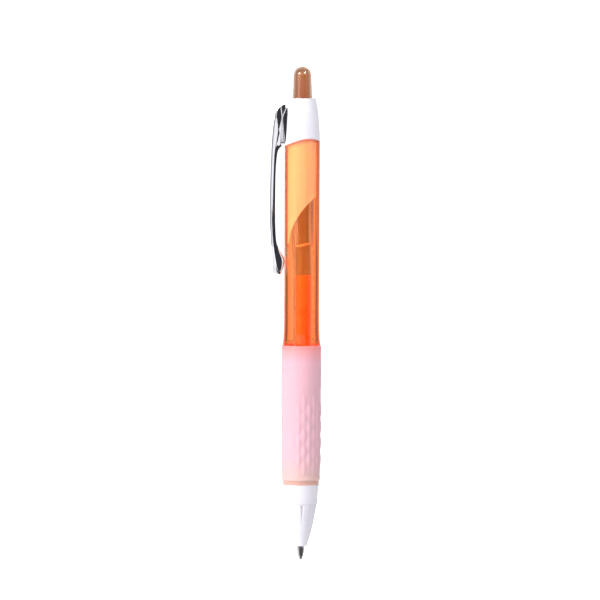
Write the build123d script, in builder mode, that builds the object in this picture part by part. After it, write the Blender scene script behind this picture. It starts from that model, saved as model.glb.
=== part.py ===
from build123d import *
import math
import os

# Retractable gel pen, in millimetres. +Z runs up along the pen axis, the origin is the writing
# point with the point out, and the pocket clip is on the -X side.

# Driving dimensions of the travel
STROKE = 5.0                    # the refill rises this far when the point is drawn in
TURN_PER_MM = 9.0               # degrees that the rotor turns for each millimetre of travel
SLIDE_GAP = 0.15                # radial play of the pieces that slide
FIT_GAP = 0.05                  # radial play between pieces that are pushed together

# Outer form, from the point up
NOSE_END_Z = 4.0
NOSE_STEP_Z = 16.2
NOSE_TOP_Z = 21.8
GRIP_BOTTOM_Z = 22.9
GRIP_TOP_Z = 61.7
FLARE_TOP_Z = 67.7
COLLAR_TOP_Z = 133.0
PEN_TOP_Z = 142.0
BARREL_R = 5.1
WAIST_R = 5.05
FLARE_R = 5.72
LIP_R = 5.2                     # the barrel's lower end, between the grip and the nose cone
NOSE_NECK_R = 4.6
GRIP_SEAT_R = 4.75
GRIP_R = 5.68
GRIP_SHAFT_BOTTOM_Z = 47.0      # the grip is a plain cylinder from here up
GRIP_SHAFT_TOP_Z = 60.4

# Sides of the outer pieces, as (radius, height) points from the bottom up
FLARE_SIDE = [(FLARE_R, GRIP_TOP_Z), (5.4, 63.6), (5.19, 65.5), (5.07, FLARE_TOP_Z)]
BARREL_SIDE = [(WAIST_R, 75.0), (5.07, 100.0), (BARREL_R, 118.0)]
GRIP_FOOT = [(GRIP_SEAT_R, GRIP_BOTTOM_Z), (5.3, GRIP_BOTTOM_Z), (5.5, 23.5)]
GRIP_SIDE = [GRIP_FOOT[-1], (5.62, 30.0), (5.67, 40.0), (GRIP_R, GRIP_SHAFT_BOTTOM_Z)]
NOSE_SIDE = [(1.9, 4.4), (2.87, 7.6), (3.72, 11.1), (4.54, 16.1)]
NOSE_BAND = [(4.8, NOSE_STEP_Z), (4.9, 18.8), (5.1, NOSE_TOP_Z)]
COLLAR_SIDE = [(5.12, 119.0), (5.06, 121.6), (4.87, 125.3), (4.58, 128.2), (4.15, 131.6), (3.9, 132.6)]
COLLAR_LIP_R = 3.5

# The joint line between barrel and collar is an arch, a cylinder that runs along Y
ARCH_X = 0.7
ARCH_Z = 111.25
ARCH_R = 10.1
ARCH_TOP_Z = ARCH_Z + ARCH_R

# Inside of the barrel and the collar
BARREL_BORE_R = 4.15
LOWER_BORE_R = 4.0
LOWER_BORE_TOP_Z = 64.7
LIP_CHAMFER = 0.1
MECHANISM_BORE_R = 3.4
COLLAR_CEILING_Z = 131.5

# Inner sleeve: its lower end is square on the clip side, and cut by a cylinder along Y elsewhere
SLEEVE_R = 4.05
SLEEVE_TOP_Z = 127.0
SLEEVE_BOTTOM_Z = 91.25
SLEEVE_CUT_X = 11.6
SLEEVE_CUT_Z = 91.9
SLEEVE_CUT_R = 15.45

# Nose cone
NOSE_SPIGOT_R = LOWER_BORE_R - FIT_GAP
NOSE_SPIGOT_TOP_Z = 27.0
NOSE_HOLE_R = 1.28
NOSE_HOLE_TOP_Z = 6.0
NOSE_RIM_R = 1.62
NOSE_BORE_R = 3.3
HOLDER_BORE_R = 1.9
HOLDER_BORE_BOTTOM_Z = 7.2
SPRING_SEAT_Z = 8.3
SPRING_BORE_R = 2.5
SPRING_BORE_TOP_Z = 19.2
FLUTE_COUNT = 6
FLUTE_TOP_Z = 15.8
FLUTE_END_Z = 9.9
FLUTE_START_ANGLE = -99.0
FLUTE_HEAD = [(3.45, 0), (5.0, 0.95), (5.0, -0.95)]
FLUTE_TAIL = [(3.25, 0), (3.6, 0.12), (3.6, -0.12)]
THREAD_GROOVES = 4
THREAD_PITCH = 1.1
THREAD_DEPTH = 0.25
THREAD_HALF_WIDTH = 0.4

# Refill
REFILL_R = 3.1
REFILL_BORE_R = 1.45
REFILL_FRONT_Z = 22.5
REFILL_REAR_Z = 105.9
PLUG_FLANGE = 0.8
PLUG_LENGTH = 2.5
VENT_R = 0.4
INK_TOP_Z = 82.0
GREASE_TOP_Z = 91.0
MENISCUS_DEPTH = 0.7
HOLDER_BOTTOM_Z = 8.8
HOLDER_SHOULDER_Z = 20.5
HOLDER_TOP_Z = 27.0
HOLDER_R = 1.75
HOLDER_FLANGE_R = 2.9
HOLDER_MOUTH_R = 1.0
HOLDER_MOUTH_Z = 24.0
CHECK_CHAMBER_Z = 19.2
CHECK_CHAMBER_TOP_Z = 21.8
CHECK_CHAMBER_R = 0.9
CHECK_SEAT_R = 0.55
CHECK_BALL_R = 0.75
CHANNEL_R = 0.5                 # ink channel through the tip
TIP_R = 1.15
TIP_TOP_Z = 12.4
BALL_R = 0.35
TIP_LIP = [(0.335, 0.2), (0.42, 0.22), (0.6, 0.7), (0.78, 1.2)]
TIP_SIDE = [TIP_LIP[-1], (0.92, 1.8), (1.07, 3.0), (TIP_R, 3.9)]
BALL_SOCKET = [(0.22, 1.8), (0.22, 0.76), (0.37, 0.66), (0.37, 0.32)]
SPRING_R = 2.15
SPRING_WIRE_R = 0.18
SPRING_PITCH = 1.4
SEAL_SPRING_R = 0.36
SEAL_WIRE_R = 0.07
SEAL_SPRING_Z = 2.3
SEAL_SPRING_LENGTH = 9.0
SEAL_SPRING_PITCH = 0.6
SEAL_PLATE_R = 0.46
SEAL_PLATE_HEIGHT = 0.3
SEAL_PIN_R = 0.12

# Click mechanism
CAM_OUTER_R = MECHANISM_BORE_R - FIT_GAP
TRACK_R = 2.95
RIB_R = 2.35
SLIDER_R = RIB_R - SLIDE_GAP
LUG_R = TRACK_R - SLIDE_GAP
LUG_COUNT = 4
LUG_ANGLE = 16.0
LUG_SIDE_PLAY = 2.0             # degrees on each side of a lug
ROTOR_LUG_HEIGHT = 1.6
ROTOR_LUG_Z = 109.5
PLUNGER_LUG_HEIGHT = 3.0
PLUNGER_LUG_Z = 117.7
CAM_BOTTOM_Z = ROTOR_LUG_Z + ROTOR_LUG_HEIGHT + 0.1
CAM_SPLIT_Z = CAM_BOTTOM_Z + STROKE + 0.2
CAM_TOP_Z = 123.7
CROWN_TEETH = 8
CROWN_Z = 112.0
CROWN_HEIGHT = 1.0
CROWN_NOTCH_WIDTH = 1.5
CROWN_GAP = 0.15
SHAFT_R = 1.1
SHAFT_TOP_Z = 117.0

# Knob
KNOB_FLANGE_Z = 125.0
KNOB_FLANGE_HEIGHT = 1.2
KNOB_FLANGE_R = 3.2
KNOB_R = 2.8
KNOB_HOLE_R = KNOB_R + SLIDE_GAP
KNOB_DOME_R = 2.5
KNOB_CAVITY_R = 1.95
KNOB_CAVITY_TOP_Z = 141.2
KNOB_SIDE = [(KNOB_R, 129.0), (2.66, 133.7), (2.57, 136.1), (KNOB_DOME_R, PEN_TOP_Z - KNOB_DOME_R)]
KNOB_CAVITY_SIDE = [(1.2, KNOB_CAVITY_TOP_Z), (1.75, KNOB_CAVITY_TOP_Z - 0.8)]
KNOB_PIN_R = 1.75
KNOB_PIN_TOP_Z = 129.5

# Pocket clip, a folded channel of thin sheet open towards the barrel
CLIP_HALF_WIDTH = 2.1
CLIP_SHEET = 0.4
BOSS_HALF_WIDTH = 1.2
BOSS_SIDE = [(-4.15, 122.0), (-7.2, 122.8), (-7.7, 128.4), (-5.4, 130.0), (-4.15, 130.5)]
CLIP_FOOT_Z = 84.5
CLIP_NECK_Z = 95.0              # the clip narrows below this
CLIP_SHOULDER_Z = 128.5         # and above this
CLIP_CORNER_Z = 131.0
CLIP_HEAD_Z = 131.8
CLIP_HEAD = [(-4.5, 131.3), (-5.5, 131.6), (-7.95, 130.0)]
CLIP_FOOT = [(-7.9, 82.9), (-7.3, 82.3), (-6.7, 82.5)]
CLIP_NUB = [(-5.75, 84.6), (-5.4, 86.3), (-5.9, 87.6)]
CLIP_BACK = [
    (-8.35, 129.4),
    (-8.93, 123.9),
    (-9.4, 118.1),
    (-9.72, 110.0),
    (-9.86, 101.0),
    (-9.68, 95.1),
    (-9.23, 89.3),
    (-8.6, 85.2),
]
CLIP_INSIDE = [
    (-7.5, 90.0),
    (-8.25, 91.9),
    (-8.6, 97.0),
    (-8.64, 105.0),
    (-8.5, 112.4),
    (-8.0, 117.4),
]
CLIP_ROOT = [(-7.1, 118.9), (-5.3, 119.9), (-4.95, 123.0), (-4.7, 126.5), (-4.35, 130.0)]
CLIP_HOLLOW_TOP = [(-3.5, 131.2), (-5.6, 131.2), (-7.75, 129.75)]
CLIP_HOLLOW_FOOT = [(-7.6, 83.4), (-7.1, 83.0), (-6.2, 86.0), (-7.2, 88.9), (-3.5, 89.6)]


def outline(*points):
    """A closed outline of (radius, height) points, to be turned about the pen axis."""
    with BuildSketch(Plane.XZ) as profile:
        Polygon(*points, align=None)
    return profile.sketch


def ring_sector(inner_r, outer_r, width, height):
    """A piece of a ring, `width` degrees wide about +X, at a height."""
    half = math.radians(width / 2)

    def at(radius, angle):
        return (radius * math.cos(angle), radius * math.sin(angle))

    with BuildSketch(Plane.XY.offset(height)) as sector:
        with BuildLine():
            ThreePointArc(at(outer_r, -half), at(outer_r, 0), at(outer_r, half))
            Line(at(outer_r, half), at(inner_r, half))
            ThreePointArc(at(inner_r, half), at(inner_r, 0), at(inner_r, -half))
            Line(at(inner_r, -half), at(outer_r, -half))
        make_face()
    return sector.sketch


def radial_plane(angle):
    """A plane that faces outwards in the direction `angle`, with its Y axis up the pen."""
    turn = math.radians(angle)
    outwards = (math.cos(turn), math.sin(turn), 0)
    sideways = (-math.sin(turn), math.cos(turn), 0)
    return Plane(origin=(0, 0, 0), x_dir=sideways, z_dir=outwards)


def above_arch(radius):
    """The space above the arched joint line, as a sketch to be cut along Y."""
    with BuildSketch(Plane.XZ) as space:
        with Locations((0, ARCH_Z + 15)):
            Rectangle(30, 30)
        with Locations((ARCH_X, ARCH_Z)):
            Circle(radius, mode=Mode.SUBTRACT)
    return space.sketch


def write(piece, name):
    """Label a finished piece and write it."""
    piece.part.label = name
    export_step(piece.part, f"parts/{name}.step")


os.makedirs("parts", exist_ok=True)

# ---- Barrel: clear tube, flared above the grip, with an arched end against the collar
with BuildPart() as barrel:
    with BuildSketch(Plane.XZ):
        with BuildLine():
            Polyline(
                (LOWER_BORE_R, GRIP_BOTTOM_Z),
                (NOSE_NECK_R + FIT_GAP, GRIP_BOTTOM_Z),
                (NOSE_NECK_R + FIT_GAP, NOSE_TOP_Z),
                (LIP_R - LIP_CHAMFER, NOSE_TOP_Z),
                (LIP_R, NOSE_TOP_Z + LIP_CHAMFER),
                (LIP_R, GRIP_BOTTOM_Z),
                (GRIP_SEAT_R, GRIP_BOTTOM_Z),
                (GRIP_SEAT_R, GRIP_TOP_Z),
                FLARE_SIDE[0],
            )
            Spline(*FLARE_SIDE, tangents=((-0.2, 1), (0, 1)))
            Polyline(
                FLARE_SIDE[-1],
                *BARREL_SIDE,
                (BARREL_R, ARCH_TOP_Z + 0.5),
                (BARREL_BORE_R, ARCH_TOP_Z + 0.5),
                (BARREL_BORE_R, FLARE_TOP_Z),
                (LOWER_BORE_R, LOWER_BORE_TOP_Z),
                (LOWER_BORE_R, GRIP_BOTTOM_Z),
            )
        make_face()
    revolve(axis=Axis.Z)
    extrude(above_arch(ARCH_R), amount=12, both=True, mode=Mode.SUBTRACT)
write(barrel, "barrel")

# ---- Grip: soft sleeve in the long recess of the barrel
with BuildPart() as grip:
    with BuildSketch(Plane.XZ):
        with BuildLine():
            Polyline(*GRIP_FOOT)
            Spline(*GRIP_SIDE, tangents=((0.1, 1), (0, 1)))
            Polyline(
                GRIP_SIDE[-1],
                (GRIP_R, GRIP_SHAFT_TOP_Z),
                (GRIP_FOOT[-1][0], GRIP_TOP_Z),
                (GRIP_SEAT_R, GRIP_TOP_Z),
                (GRIP_SEAT_R, GRIP_BOTTOM_Z),
            )
        make_face()
    revolve(axis=Axis.Z)
write(grip, "grip")

# ---- Nose cone: screws into the barrel and holds the foot of the return spring
with BuildPart() as nose_cone:
    with BuildSketch(Plane.XZ):
        with BuildLine():
            Polyline((NOSE_HOLE_R, NOSE_END_Z), (NOSE_RIM_R, NOSE_END_Z), NOSE_SIDE[0])
            Spline(*NOSE_SIDE)
            Line(NOSE_SIDE[-1], NOSE_BAND[0])
            Spline(*NOSE_BAND)
            Polyline(
                NOSE_BAND[-1],
                (NOSE_NECK_R, NOSE_TOP_Z),
                (NOSE_NECK_R, GRIP_BOTTOM_Z),
                (NOSE_SPIGOT_R, GRIP_BOTTOM_Z),
                (NOSE_SPIGOT_R, NOSE_SPIGOT_TOP_Z),
                (NOSE_BORE_R, NOSE_SPIGOT_TOP_Z),
                (NOSE_BORE_R, SPRING_BORE_TOP_Z),
                (SPRING_BORE_R, SPRING_BORE_TOP_Z),
                (SPRING_BORE_R, SPRING_SEAT_Z),
                (HOLDER_BORE_R, SPRING_SEAT_Z),
                (HOLDER_BORE_R, HOLDER_BORE_BOTTOM_Z),
                (NOSE_HOLE_R, NOSE_HOLE_TOP_Z),
                (NOSE_HOLE_R, NOSE_END_Z),
            )
        make_face()
    revolve(axis=Axis.Z)
    # the thread of the spigot, as plain rings
    for turn in range(THREAD_GROOVES):
        groove_z = GRIP_BOTTOM_Z + THREAD_PITCH * (turn + 0.5)
        revolve(
            outline(
                (NOSE_SPIGOT_R + 0.1, groove_z - THREAD_HALF_WIDTH),
                (NOSE_SPIGOT_R + 0.1, groove_z + THREAD_HALF_WIDTH),
                (NOSE_SPIGOT_R - THREAD_DEPTH, groove_z),
            ),
            axis=Axis.Z,
            mode=Mode.SUBTRACT,
        )
    # flutes: V cuts, deepest under the step, that run out towards the point
    for flute in range(FLUTE_COUNT):
        across = Plane.XY.rotated((0, 0, FLUTE_START_ANGLE + flute * 360 / FLUTE_COUNT))
        with BuildSketch(across.offset(FLUTE_TOP_Z)):
            Polygon(*FLUTE_HEAD, align=None)
        with BuildSketch(across.offset(FLUTE_END_Z)):
            Polygon(*FLUTE_TAIL, align=None)
        loft(mode=Mode.SUBTRACT)
write(nose_cone, "nose_cone")

# ---- Collar: carries the clip on a boss and guides the knob
with BuildPart() as collar:
    with BuildSketch(Plane.XZ):
        with BuildLine():
            Spline(*COLLAR_SIDE)
            Polyline(
                COLLAR_SIDE[-1],
                (COLLAR_LIP_R, COLLAR_TOP_Z),
                (KNOB_HOLE_R, COLLAR_TOP_Z),
                (KNOB_HOLE_R, COLLAR_CEILING_Z),
                (MECHANISM_BORE_R, COLLAR_CEILING_Z),
                (MECHANISM_BORE_R, SLEEVE_TOP_Z + 0.1),
                (SLEEVE_R + FIT_GAP, SLEEVE_TOP_Z + 0.1),
                (SLEEVE_R + FIT_GAP, COLLAR_SIDE[0][1]),
                COLLAR_SIDE[0],
            )
        make_face()
    revolve(axis=Axis.Z)
    extrude(above_arch(ARCH_R + 0.02), amount=12, both=True, mode=Mode.INTERSECT)
    with BuildSketch(Plane.XZ):
        Polygon(*BOSS_SIDE, align=None)
    extrude(amount=BOSS_HALF_WIDTH, both=True)
write(collar, "collar")


# ---- Clip: a folded channel, made as a solid form less its hollow
def clip_front(inset):
    """The clip seen from the front: parallel sides, a rounded head and a narrow round foot."""
    half = CLIP_HALF_WIDTH - inset
    foot_half = half - 0.4
    foot_z = CLIP_FOOT_Z + inset
    side = [
        (foot_half, foot_z),
        (half, CLIP_NECK_Z),
        (half, CLIP_SHOULDER_Z),
        (half - 0.5, CLIP_CORNER_Z - inset),
        (half - 1.1, CLIP_HEAD_Z - inset),
    ]
    other_side = [(-y, z) for y, z in reversed(side)]
    with BuildSketch(Plane.YZ) as front:
        with BuildLine():
            ThreePointArc((-foot_half, foot_z), (0, foot_z - CLIP_HALF_WIDTH), (foot_half, foot_z))
            Polyline(*side, *other_side)
        make_face()
    return front.sketch


hollow_back = [(x + CLIP_SHEET, z) for x, z in CLIP_BACK]

with BuildPart() as clip_hollow:
    with BuildSketch(Plane.XZ):
        with BuildLine():
            Polyline(*CLIP_HOLLOW_TOP, hollow_back[0])
            Spline(*hollow_back)
            Polyline(hollow_back[-1], *CLIP_HOLLOW_FOOT, CLIP_HOLLOW_TOP[0])
        make_face()
    extrude(amount=CLIP_HALF_WIDTH, both=True)
    extrude(clip_front(CLIP_SHEET), amount=12, both=True, mode=Mode.INTERSECT)

with BuildPart() as clip:
    with BuildSketch(Plane.XZ):
        with BuildLine():
            Polyline(*CLIP_HEAD, CLIP_BACK[0])
            Spline(*CLIP_BACK)
            Line(CLIP_BACK[-1], CLIP_FOOT[0])
            ThreePointArc(*CLIP_FOOT)
            Line(CLIP_FOOT[-1], CLIP_NUB[0])
            Spline(*CLIP_NUB, CLIP_INSIDE[0])
            Spline(*CLIP_INSIDE)
            Polyline(CLIP_INSIDE[-1], *CLIP_ROOT, CLIP_HEAD[0])
        make_face()
    extrude(amount=CLIP_HALF_WIDTH, both=True)
    extrude(clip_front(0), amount=12, both=True, mode=Mode.INTERSECT)
    add(clip_hollow.part, mode=Mode.SUBTRACT)
write(clip, "clip")

# ---- Knob: hollow clear cap with a flange that stops it inside the collar
with BuildPart() as knob:
    with BuildSketch(Plane.XZ):
        with BuildLine():
            Polyline(
                (KNOB_CAVITY_R, KNOB_FLANGE_Z),
                (KNOB_FLANGE_R, KNOB_FLANGE_Z),
                (KNOB_FLANGE_R, KNOB_FLANGE_Z + KNOB_FLANGE_HEIGHT),
                (KNOB_R, KNOB_FLANGE_Z + KNOB_FLANGE_HEIGHT),
                *KNOB_SIDE,
            )
            CenterArc((0, PEN_TOP_Z - KNOB_DOME_R), KNOB_DOME_R, 0, 90)
            Polyline(
                (0, PEN_TOP_Z),
                (0, KNOB_CAVITY_TOP_Z),
                *KNOB_CAVITY_SIDE,
                (KNOB_CAVITY_R, KNOB_FLANGE_Z),
            )
        make_face()
    revolve(axis=Axis.Z)
write(knob, "knob")

# ---- Plunger: pin pressed into the knob, lugs in the straight tracks, crown teeth at the foot
PLUNGER_FOOT_Z = CROWN_Z + CROWN_HEIGHT + CROWN_GAP

with BuildPart() as plunger:
    with BuildSketch(Plane.XY.offset(PLUNGER_FOOT_Z)):
        Circle(SLIDER_R)
    extrude(amount=KNOB_FLANGE_Z - PLUNGER_FOOT_Z)
    with BuildSketch(Plane.XY.offset(KNOB_FLANGE_Z)):
        Circle(KNOB_PIN_R)
    extrude(amount=KNOB_PIN_TOP_Z - KNOB_FLANGE_Z)
    with BuildSketch(Plane.XY.offset(PLUNGER_FOOT_Z)):
        Circle(SHAFT_R + 0.1)
    extrude(amount=SHAFT_TOP_Z + 0.4 - PLUNGER_FOOT_Z, mode=Mode.SUBTRACT)
    for tooth in range(CROWN_TEETH):
        with BuildSketch(radial_plane(tooth * 360 / CROWN_TEETH)):
            Polygon(
                (-CROWN_NOTCH_WIDTH / 2, PLUNGER_FOOT_Z),
                (CROWN_NOTCH_WIDTH / 2, PLUNGER_FOOT_Z),
                (0, PLUNGER_FOOT_Z + CROWN_HEIGHT),
                align=None,
            )
        extrude(amount=SLIDER_R + 1, mode=Mode.SUBTRACT)
    plunger_lug = ring_sector(SLIDER_R - 0.3, LUG_R, LUG_ANGLE, PLUNGER_LUG_Z)
    for lug in range(LUG_COUNT):
        extrude(plunger_lug.rotate(Axis.Z, lug * 360 / LUG_COUNT), amount=PLUNGER_LUG_HEIGHT)
write(plunger, "plunger")

# ---- Rotor: stands on the refill, locks under the cam sleeve and turns as it rises
with BuildPart() as rotor_cam:
    with BuildSketch(Plane.XY.offset(REFILL_REAR_Z + FIT_GAP)):
        Circle(SLIDER_R)
    extrude(amount=CROWN_Z + CROWN_HEIGHT - REFILL_REAR_Z - FIT_GAP)
    for tooth in range(CROWN_TEETH):
        with BuildSketch(radial_plane((tooth + 0.5) * 360 / CROWN_TEETH)):
            Polygon(
                (-CROWN_NOTCH_WIDTH / 2, CROWN_Z + CROWN_HEIGHT),
                (CROWN_NOTCH_WIDTH / 2, CROWN_Z + CROWN_HEIGHT),
                (0, CROWN_Z),
                align=None,
            )
        extrude(amount=SLIDER_R + 1, mode=Mode.SUBTRACT)
    with BuildSketch(Plane.XY.offset(CROWN_Z - 0.5)):
        Circle(SHAFT_R)
    extrude(amount=SHAFT_TOP_Z - CROWN_Z + 0.5)
    rotor_lug = ring_sector(SLIDER_R - 0.3, LUG_R, LUG_ANGLE, ROTOR_LUG_Z)
    for lug in range(LUG_COUNT):
        extrude(rotor_lug.rotate(Axis.Z, lug * 360 / LUG_COUNT), amount=ROTOR_LUG_HEIGHT)
write(rotor_cam, "rotor_cam")

# ---- Cam sleeve: spiral tracks for the rotor's lugs below, straight ones for the plunger above.
# A spiral track is wide enough for the whole height of a lug as it turns.
track_width = LUG_ANGLE + 2 * LUG_SIDE_PLAY + ROTOR_LUG_HEIGHT * TURN_PER_MM
track_start_z = CAM_BOTTOM_Z - 0.2
track_length = CAM_SPLIT_Z - track_start_z
# direction of the middle of the swept lug where the track starts
track_start_angle = (track_start_z - ROTOR_LUG_Z - ROTOR_LUG_HEIGHT / 2) * TURN_PER_MM
spiral_track = Solid.extrude_linear_with_rotation(
    ring_sector(RIB_R - 0.1, TRACK_R, track_width, track_start_z).faces()[0],
    (0, 0, track_start_z),
    (0, 0, track_length),
    track_length * TURN_PER_MM,
)

with BuildPart() as cam_sleeve:
    with BuildSketch(Plane.XY.offset(CAM_BOTTOM_Z)):
        Circle(CAM_OUTER_R)
        Circle(RIB_R, mode=Mode.SUBTRACT)
    extrude(amount=CAM_TOP_Z - CAM_BOTTOM_Z)
    straight_track = ring_sector(
        RIB_R - 0.1, TRACK_R, LUG_ANGLE + 2 * LUG_SIDE_PLAY, CAM_SPLIT_Z - 0.01
    )
    for lug in range(LUG_COUNT):
        turn = lug * 360 / LUG_COUNT
        add(spiral_track.rotate(Axis.Z, track_start_angle + turn), mode=Mode.SUBTRACT)
        extrude(
            straight_track.rotate(Axis.Z, turn),
            amount=CAM_TOP_Z - CAM_SPLIT_Z + 1,
            mode=Mode.SUBTRACT,
        )
write(cam_sleeve, "cam_sleeve")

# ---- Inner sleeve: opaque lining that runs up into the collar and carries the cam sleeve
with BuildPart() as inner_sleeve:
    with BuildSketch(Plane.XY.offset(SLEEVE_BOTTOM_Z)):
        Circle(SLEEVE_R)
        Circle(MECHANISM_BORE_R, mode=Mode.SUBTRACT)
    extrude(amount=SLEEVE_TOP_Z - SLEEVE_BOTTOM_Z)
    with BuildSketch(Plane.XZ):
        with Locations((SLEEVE_CUT_X, SLEEVE_CUT_Z)):
            Circle(SLEEVE_CUT_R)
    extrude(amount=2 * SLEEVE_R, both=True, mode=Mode.SUBTRACT)
write(inner_sleeve, "inner_sleeve")

# ---- Refill tube with its ink, grease plug and rear plug
REFILL_TUBE_TOP_Z = REFILL_REAR_Z - PLUG_FLANGE
FILL_R = REFILL_BORE_R - 0.02

with BuildPart() as refill_tube:
    with BuildSketch(Plane.XY.offset(REFILL_FRONT_Z)):
        Circle(REFILL_R)
        Circle(REFILL_BORE_R, mode=Mode.SUBTRACT)
    extrude(amount=REFILL_TUBE_TOP_Z - REFILL_FRONT_Z)
write(refill_tube, "refill_tube")

with BuildPart() as ink_column:
    with BuildSketch(Plane.XY.offset(HOLDER_TOP_Z)):
        Circle(FILL_R)
    extrude(amount=INK_TOP_Z - HOLDER_TOP_Z)
write(ink_column, "ink_column")

with BuildPart() as follower_grease:
    with BuildSketch(Plane.XZ):
        with BuildLine():
            Polyline(
                (0, GREASE_TOP_Z - MENISCUS_DEPTH),
                (0, INK_TOP_Z),
                (FILL_R, INK_TOP_Z),
                (FILL_R, GREASE_TOP_Z),
            )
            EllipticalCenterArc((0, GREASE_TOP_Z), FILL_R, MENISCUS_DEPTH, 270, arc_size=90)
        make_face()
    revolve(axis=Axis.Z)
write(follower_grease, "follower_grease")

with BuildPart() as tail_plug:
    with BuildSketch(Plane.XY.offset(REFILL_REAR_Z - PLUG_LENGTH)):
        Circle(FILL_R)
    extrude(amount=PLUG_LENGTH)
    with BuildSketch(Plane.XY.offset(REFILL_TUBE_TOP_Z)):
        Circle(REFILL_R - 0.1)
    extrude(amount=PLUG_FLANGE)
    # vent: a side groove in the flange feeds the hole down the middle
    with Locations((0, 0, REFILL_REAR_Z)):
        Hole(VENT_R)
    with BuildSketch(Plane.XY.offset(REFILL_REAR_Z)):
        Rectangle(3 * REFILL_R, VENT_R)
    extrude(amount=-VENT_R, mode=Mode.SUBTRACT)
write(tail_plug, "tail_plug")

# ---- Tip holder: joins the point to the tube and holds the check ball in a small chamber
with BuildPart() as tip_holder:
    revolve(
        outline(
            (TIP_R + FIT_GAP, HOLDER_BOTTOM_Z),
            (HOLDER_R - 0.2, HOLDER_BOTTOM_Z),
            (HOLDER_R, HOLDER_BOTTOM_Z + 0.4),
            (HOLDER_R, HOLDER_SHOULDER_Z),
            (HOLDER_FLANGE_R, HOLDER_SHOULDER_Z),
            (HOLDER_FLANGE_R, REFILL_FRONT_Z),
            (FILL_R, REFILL_FRONT_Z),
            (FILL_R, HOLDER_TOP_Z),
            (HOLDER_MOUTH_R, HOLDER_TOP_Z),
            (HOLDER_MOUTH_R, HOLDER_MOUTH_Z),
            (CHECK_SEAT_R, HOLDER_MOUTH_Z - 1.0),
            (CHECK_SEAT_R, CHECK_CHAMBER_TOP_Z + 0.2),
            (CHECK_CHAMBER_R, CHECK_CHAMBER_TOP_Z),
            (CHECK_CHAMBER_R, CHECK_CHAMBER_Z),
            (CHANNEL_R, CHECK_CHAMBER_Z - 0.4),
            (CHANNEL_R, TIP_TOP_Z + 0.1),
            (TIP_R + FIT_GAP, TIP_TOP_Z + 0.1),
        ),
        axis=Axis.Z,
    )
write(tip_holder, "tip_holder")

with BuildPart() as check_ball:
    with Locations((0, 0, CHECK_CHAMBER_Z + CHECK_BALL_R + 0.1)):
        Sphere(CHECK_BALL_R)
write(check_ball, "check_ball")

# ---- Writing tip: turned metal cone with a socket for the ball
with BuildPart() as writing_tip:
    with BuildSketch(Plane.XZ):
        with BuildLine():
            Polyline(*TIP_LIP)
            Spline(*TIP_SIDE)
            Polyline(
                TIP_SIDE[-1],
                (TIP_R, TIP_TOP_Z),
                (CHANNEL_R, TIP_TOP_Z),
                (CHANNEL_R, SEAL_SPRING_Z - 0.2),
                *BALL_SOCKET,
                TIP_LIP[0],
            )
        make_face()
    revolve(axis=Axis.Z)
write(writing_tip, "writing_tip")

with BuildPart() as writing_ball:
    with Locations((0, 0, BALL_R)):
        Sphere(BALL_R)
write(writing_ball, "writing_ball")

# ---- Seal spring: presses a pin on the ball so that the point stays closed
with BuildPart() as seal_spring:
    with BuildLine():
        Helix(
            pitch=SEAL_SPRING_PITCH,
            height=SEAL_SPRING_LENGTH,
            radius=SEAL_SPRING_R,
            center=(0, 0, SEAL_SPRING_Z),
        )
    with BuildSketch(Plane(origin=(SEAL_SPRING_R, 0, SEAL_SPRING_Z), z_dir=(0, 1, 0.26))):
        Circle(SEAL_WIRE_R)
    sweep(is_frenet=True)
    # foot plate, thick enough to take in the start of the wire
    with BuildSketch(Plane.XY.offset(SEAL_SPRING_Z - SEAL_PLATE_HEIGHT / 2)):
        Circle(SEAL_PLATE_R)
    extrude(amount=SEAL_PLATE_HEIGHT)
    with BuildSketch(Plane.XY.offset(2 * BALL_R + 0.01)):
        Circle(SEAL_PIN_R)
    extrude(amount=SEAL_SPRING_Z - 2 * BALL_R - 0.1)
write(seal_spring, "seal_spring")

# ---- Return spring: between the seat in the nose and the shoulder of the tip holder
spring_foot_z = SPRING_SEAT_Z + SPRING_WIRE_R + 0.02
spring_height = HOLDER_SHOULDER_Z - SPRING_SEAT_Z - 2 * SPRING_WIRE_R - 0.04

with BuildPart() as return_spring:
    with BuildLine():
        Helix(
            pitch=SPRING_PITCH,
            height=spring_height,
            radius=SPRING_R,
            center=(0, 0, spring_foot_z),
        )
    with BuildSketch(Plane(origin=(SPRING_R, 0, spring_foot_z), z_dir=(0, 1, 0.1))):
        Circle(SPRING_WIRE_R)
    sweep(is_frenet=True)
write(return_spring, "return_spring")
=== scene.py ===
from math import cos, hypot, pi, radians, sin, sqrt, tau

import bmesh
import bpy
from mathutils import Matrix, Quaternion, Vector


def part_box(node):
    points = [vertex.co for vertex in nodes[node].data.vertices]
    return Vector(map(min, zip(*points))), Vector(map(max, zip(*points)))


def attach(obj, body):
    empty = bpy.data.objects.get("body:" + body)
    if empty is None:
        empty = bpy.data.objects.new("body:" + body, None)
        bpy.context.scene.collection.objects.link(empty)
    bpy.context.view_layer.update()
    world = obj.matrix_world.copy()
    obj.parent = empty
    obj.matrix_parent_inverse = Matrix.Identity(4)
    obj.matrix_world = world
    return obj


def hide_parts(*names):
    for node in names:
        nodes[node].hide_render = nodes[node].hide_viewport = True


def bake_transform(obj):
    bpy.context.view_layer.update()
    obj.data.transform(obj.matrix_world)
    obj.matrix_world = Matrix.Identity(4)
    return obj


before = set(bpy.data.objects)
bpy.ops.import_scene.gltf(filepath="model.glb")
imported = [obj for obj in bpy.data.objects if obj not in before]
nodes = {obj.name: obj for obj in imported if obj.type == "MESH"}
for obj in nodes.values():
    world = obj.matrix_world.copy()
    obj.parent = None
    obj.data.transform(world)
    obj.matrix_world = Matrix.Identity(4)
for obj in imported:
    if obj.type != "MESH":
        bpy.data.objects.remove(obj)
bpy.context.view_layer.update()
scene = bpy.context.scene

MM = 0.001


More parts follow.
